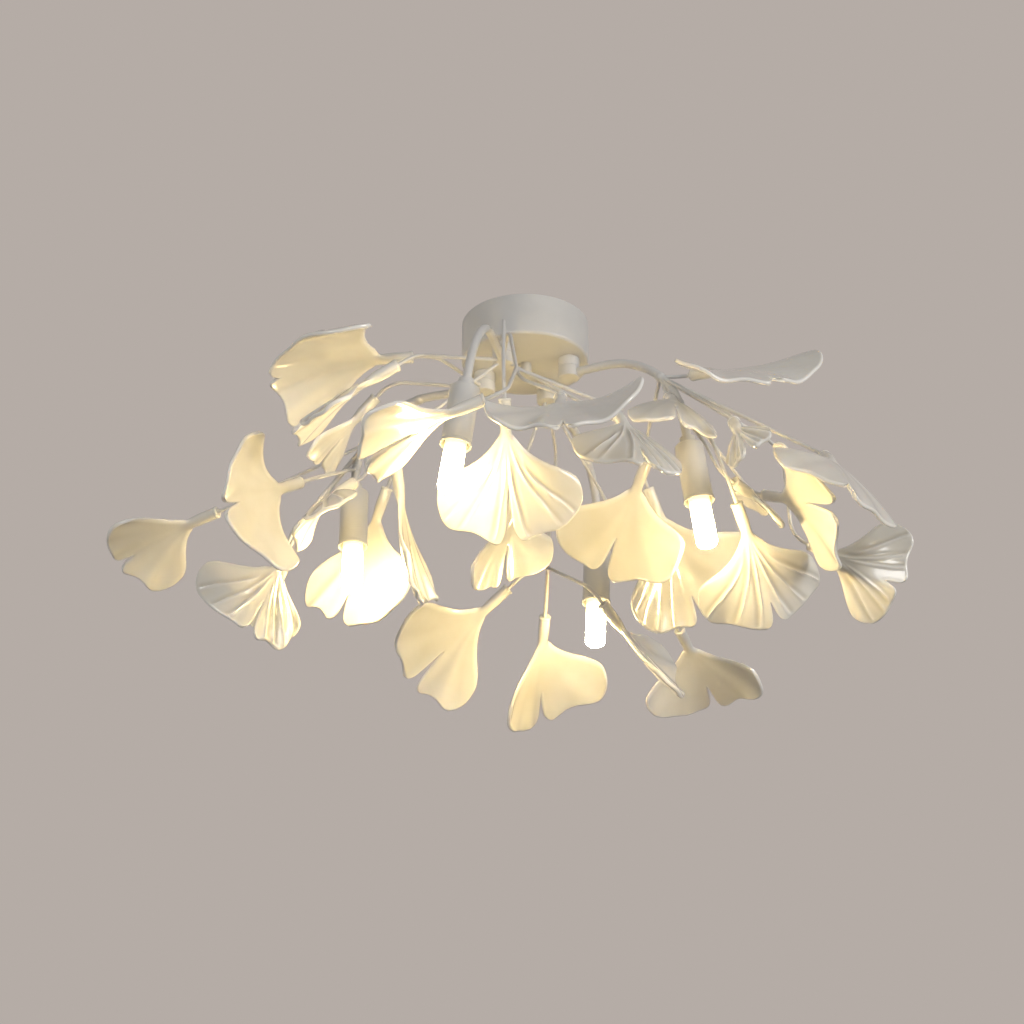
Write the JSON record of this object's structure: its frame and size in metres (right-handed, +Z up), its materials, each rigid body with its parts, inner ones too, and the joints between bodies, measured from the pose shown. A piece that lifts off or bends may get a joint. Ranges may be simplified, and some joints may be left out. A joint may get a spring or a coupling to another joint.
{
  "type": "semi-flush ceiling light",
  "caption": "Semi-flush ceiling light: round canopy, turning hubs with bent rods, pull-out capsule lamps in sleeves, and a dome of notched, glazed ceramic ginkgo leaves on the rod ends.",
  "frame": {"origin": "on the ceiling, in the middle between the two ceiling screws and on the canopy's axis", "axes": "+Z up into the ceiling, +X to the right and +Y away from whoever faces the light's front"},
  "size_m": [0.7458, 0.6232, 0.3216],
  "materials": {
    "white_paint": "satin white paint",
    "zinc_steel": "zinc plated",
    "terminal_plastic": "moulded, matt",
    "wire_insulation": "extruded, matt",
    "lamp_ceramic": "unglazed, pressed",
    "frosted_glass": "frosted, lit from inside",
    "leaf_glaze": "glossy white glaze"
  },
  "bodies": {
    "ceiling_body": {"ceiling_crossbar": "zinc_steel", "canopy": "white_paint", "canopy_knob": "white_paint", "hub_nipples": "zinc_steel", "hub_nuts": "zinc_steel", "terminal_block": "terminal_plastic", "feed_wires": "wire_insulation"},
    "branch_front": {"hub_front": "white_paint", "stems_front": "white_paint", "lamp_holder_front": "white_paint", "lamp_insert_front": "lamp_ceramic", "leaf_front_1": "leaf_glaze", "leaf_front_2": "leaf_glaze", "leaf_front_3": "leaf_glaze", "leaf_front_4": "leaf_glaze", "leaf_front_5": "leaf_glaze", "leaf_front_6": "leaf_glaze", "leaf_front_7": "leaf_glaze"},
    "lamp_front": {"lamp_base_front": "lamp_ceramic", "bulb_front": "frosted_glass"},
    "branch_right": {"hub_right": "white_paint", "stems_right": "white_paint", "lamp_holder_right": "white_paint", "lamp_insert_right": "lamp_ceramic", "leaf_right_1": "leaf_glaze", "leaf_right_2": "leaf_glaze", "leaf_right_3": "leaf_glaze", "leaf_right_4": "leaf_glaze", "leaf_right_5": "leaf_glaze", "leaf_right_6": "leaf_glaze", "leaf_right_7": "leaf_glaze", "leaf_right_8": "leaf_glaze", "leaf_right_9": "leaf_glaze"},
    "lamp_right": {"lamp_base_right": "lamp_ceramic", "bulb_right": "frosted_glass"},
    "branch_back": {"hub_back": "white_paint", "stems_back": "white_paint", "lamp_holder_back": "white_paint", "lamp_insert_back": "lamp_ceramic", "leaf_back_1": "leaf_glaze", "leaf_back_2": "leaf_glaze", "leaf_back_3": "leaf_glaze", "leaf_back_4": "leaf_glaze", "leaf_back_5": "leaf_glaze"},
    "lamp_back": {"lamp_base_back": "lamp_ceramic", "bulb_back": "frosted_glass"},
    "branch_left": {"hub_left": "white_paint", "stems_left": "white_paint", "lamp_holder_left": "white_paint", "lamp_insert_left": "lamp_ceramic", "leaf_left_1": "leaf_glaze", "leaf_left_2": "leaf_glaze", "leaf_left_3": "leaf_glaze", "leaf_left_4": "leaf_glaze", "leaf_left_5": "leaf_glaze", "leaf_left_6": "leaf_glaze", "leaf_left_7": "leaf_glaze", "leaf_left_8": "leaf_glaze"},
    "lamp_left": {"lamp_base_left": "lamp_ceramic", "bulb_left": "frosted_glass"}
  },
  "joints": [
    {"name": "front_branch_swivel", "type": "hinge", "parent": "ceiling_body", "child": "branch_front", "pos_m": [-0.021, -0.03637, -0.047], "axis": [0, 0, 1], "range_deg": [-4, 4]},
    {"name": "front_lamp_pull", "type": "slide", "parent": "branch_front", "child": "lamp_front", "axis": [-0.1392, 0, -0.9903], "range_m": [0, 0.04]},
    {"name": "right_branch_swivel", "type": "hinge", "parent": "ceiling_body", "child": "branch_right", "pos_m": [0.04075, -0.01016, -0.047], "axis": [0, 0, 1], "range_deg": [-4, 4]},
    {"name": "right_lamp_pull", "type": "slide", "parent": "branch_right", "child": "lamp_right", "axis": [0.1392, 0, -0.9903], "range_m": [0, 0.04]},
    {"name": "back_branch_swivel", "type": "hinge", "parent": "ceiling_body", "child": "branch_back", "pos_m": [0.021, 0.03637, -0.047], "axis": [0, 0, 1], "range_deg": [-4, 4]},
    {"name": "back_lamp_pull", "type": "slide", "parent": "branch_back", "child": "lamp_back", "axis": [-0.0349, 0, -0.9994], "range_m": [0, 0.04]},
    {"name": "left_branch_swivel", "type": "hinge", "parent": "ceiling_body", "child": "branch_left", "pos_m": [-0.03837, 0.01708, -0.047], "axis": [0, 0, 1], "range_deg": [-4, 4]},
    {"name": "left_lamp_pull", "type": "slide", "parent": "branch_left", "child": "lamp_left", "axis": [0, 0, -1], "range_m": [0, 0.04]}
  ]
}
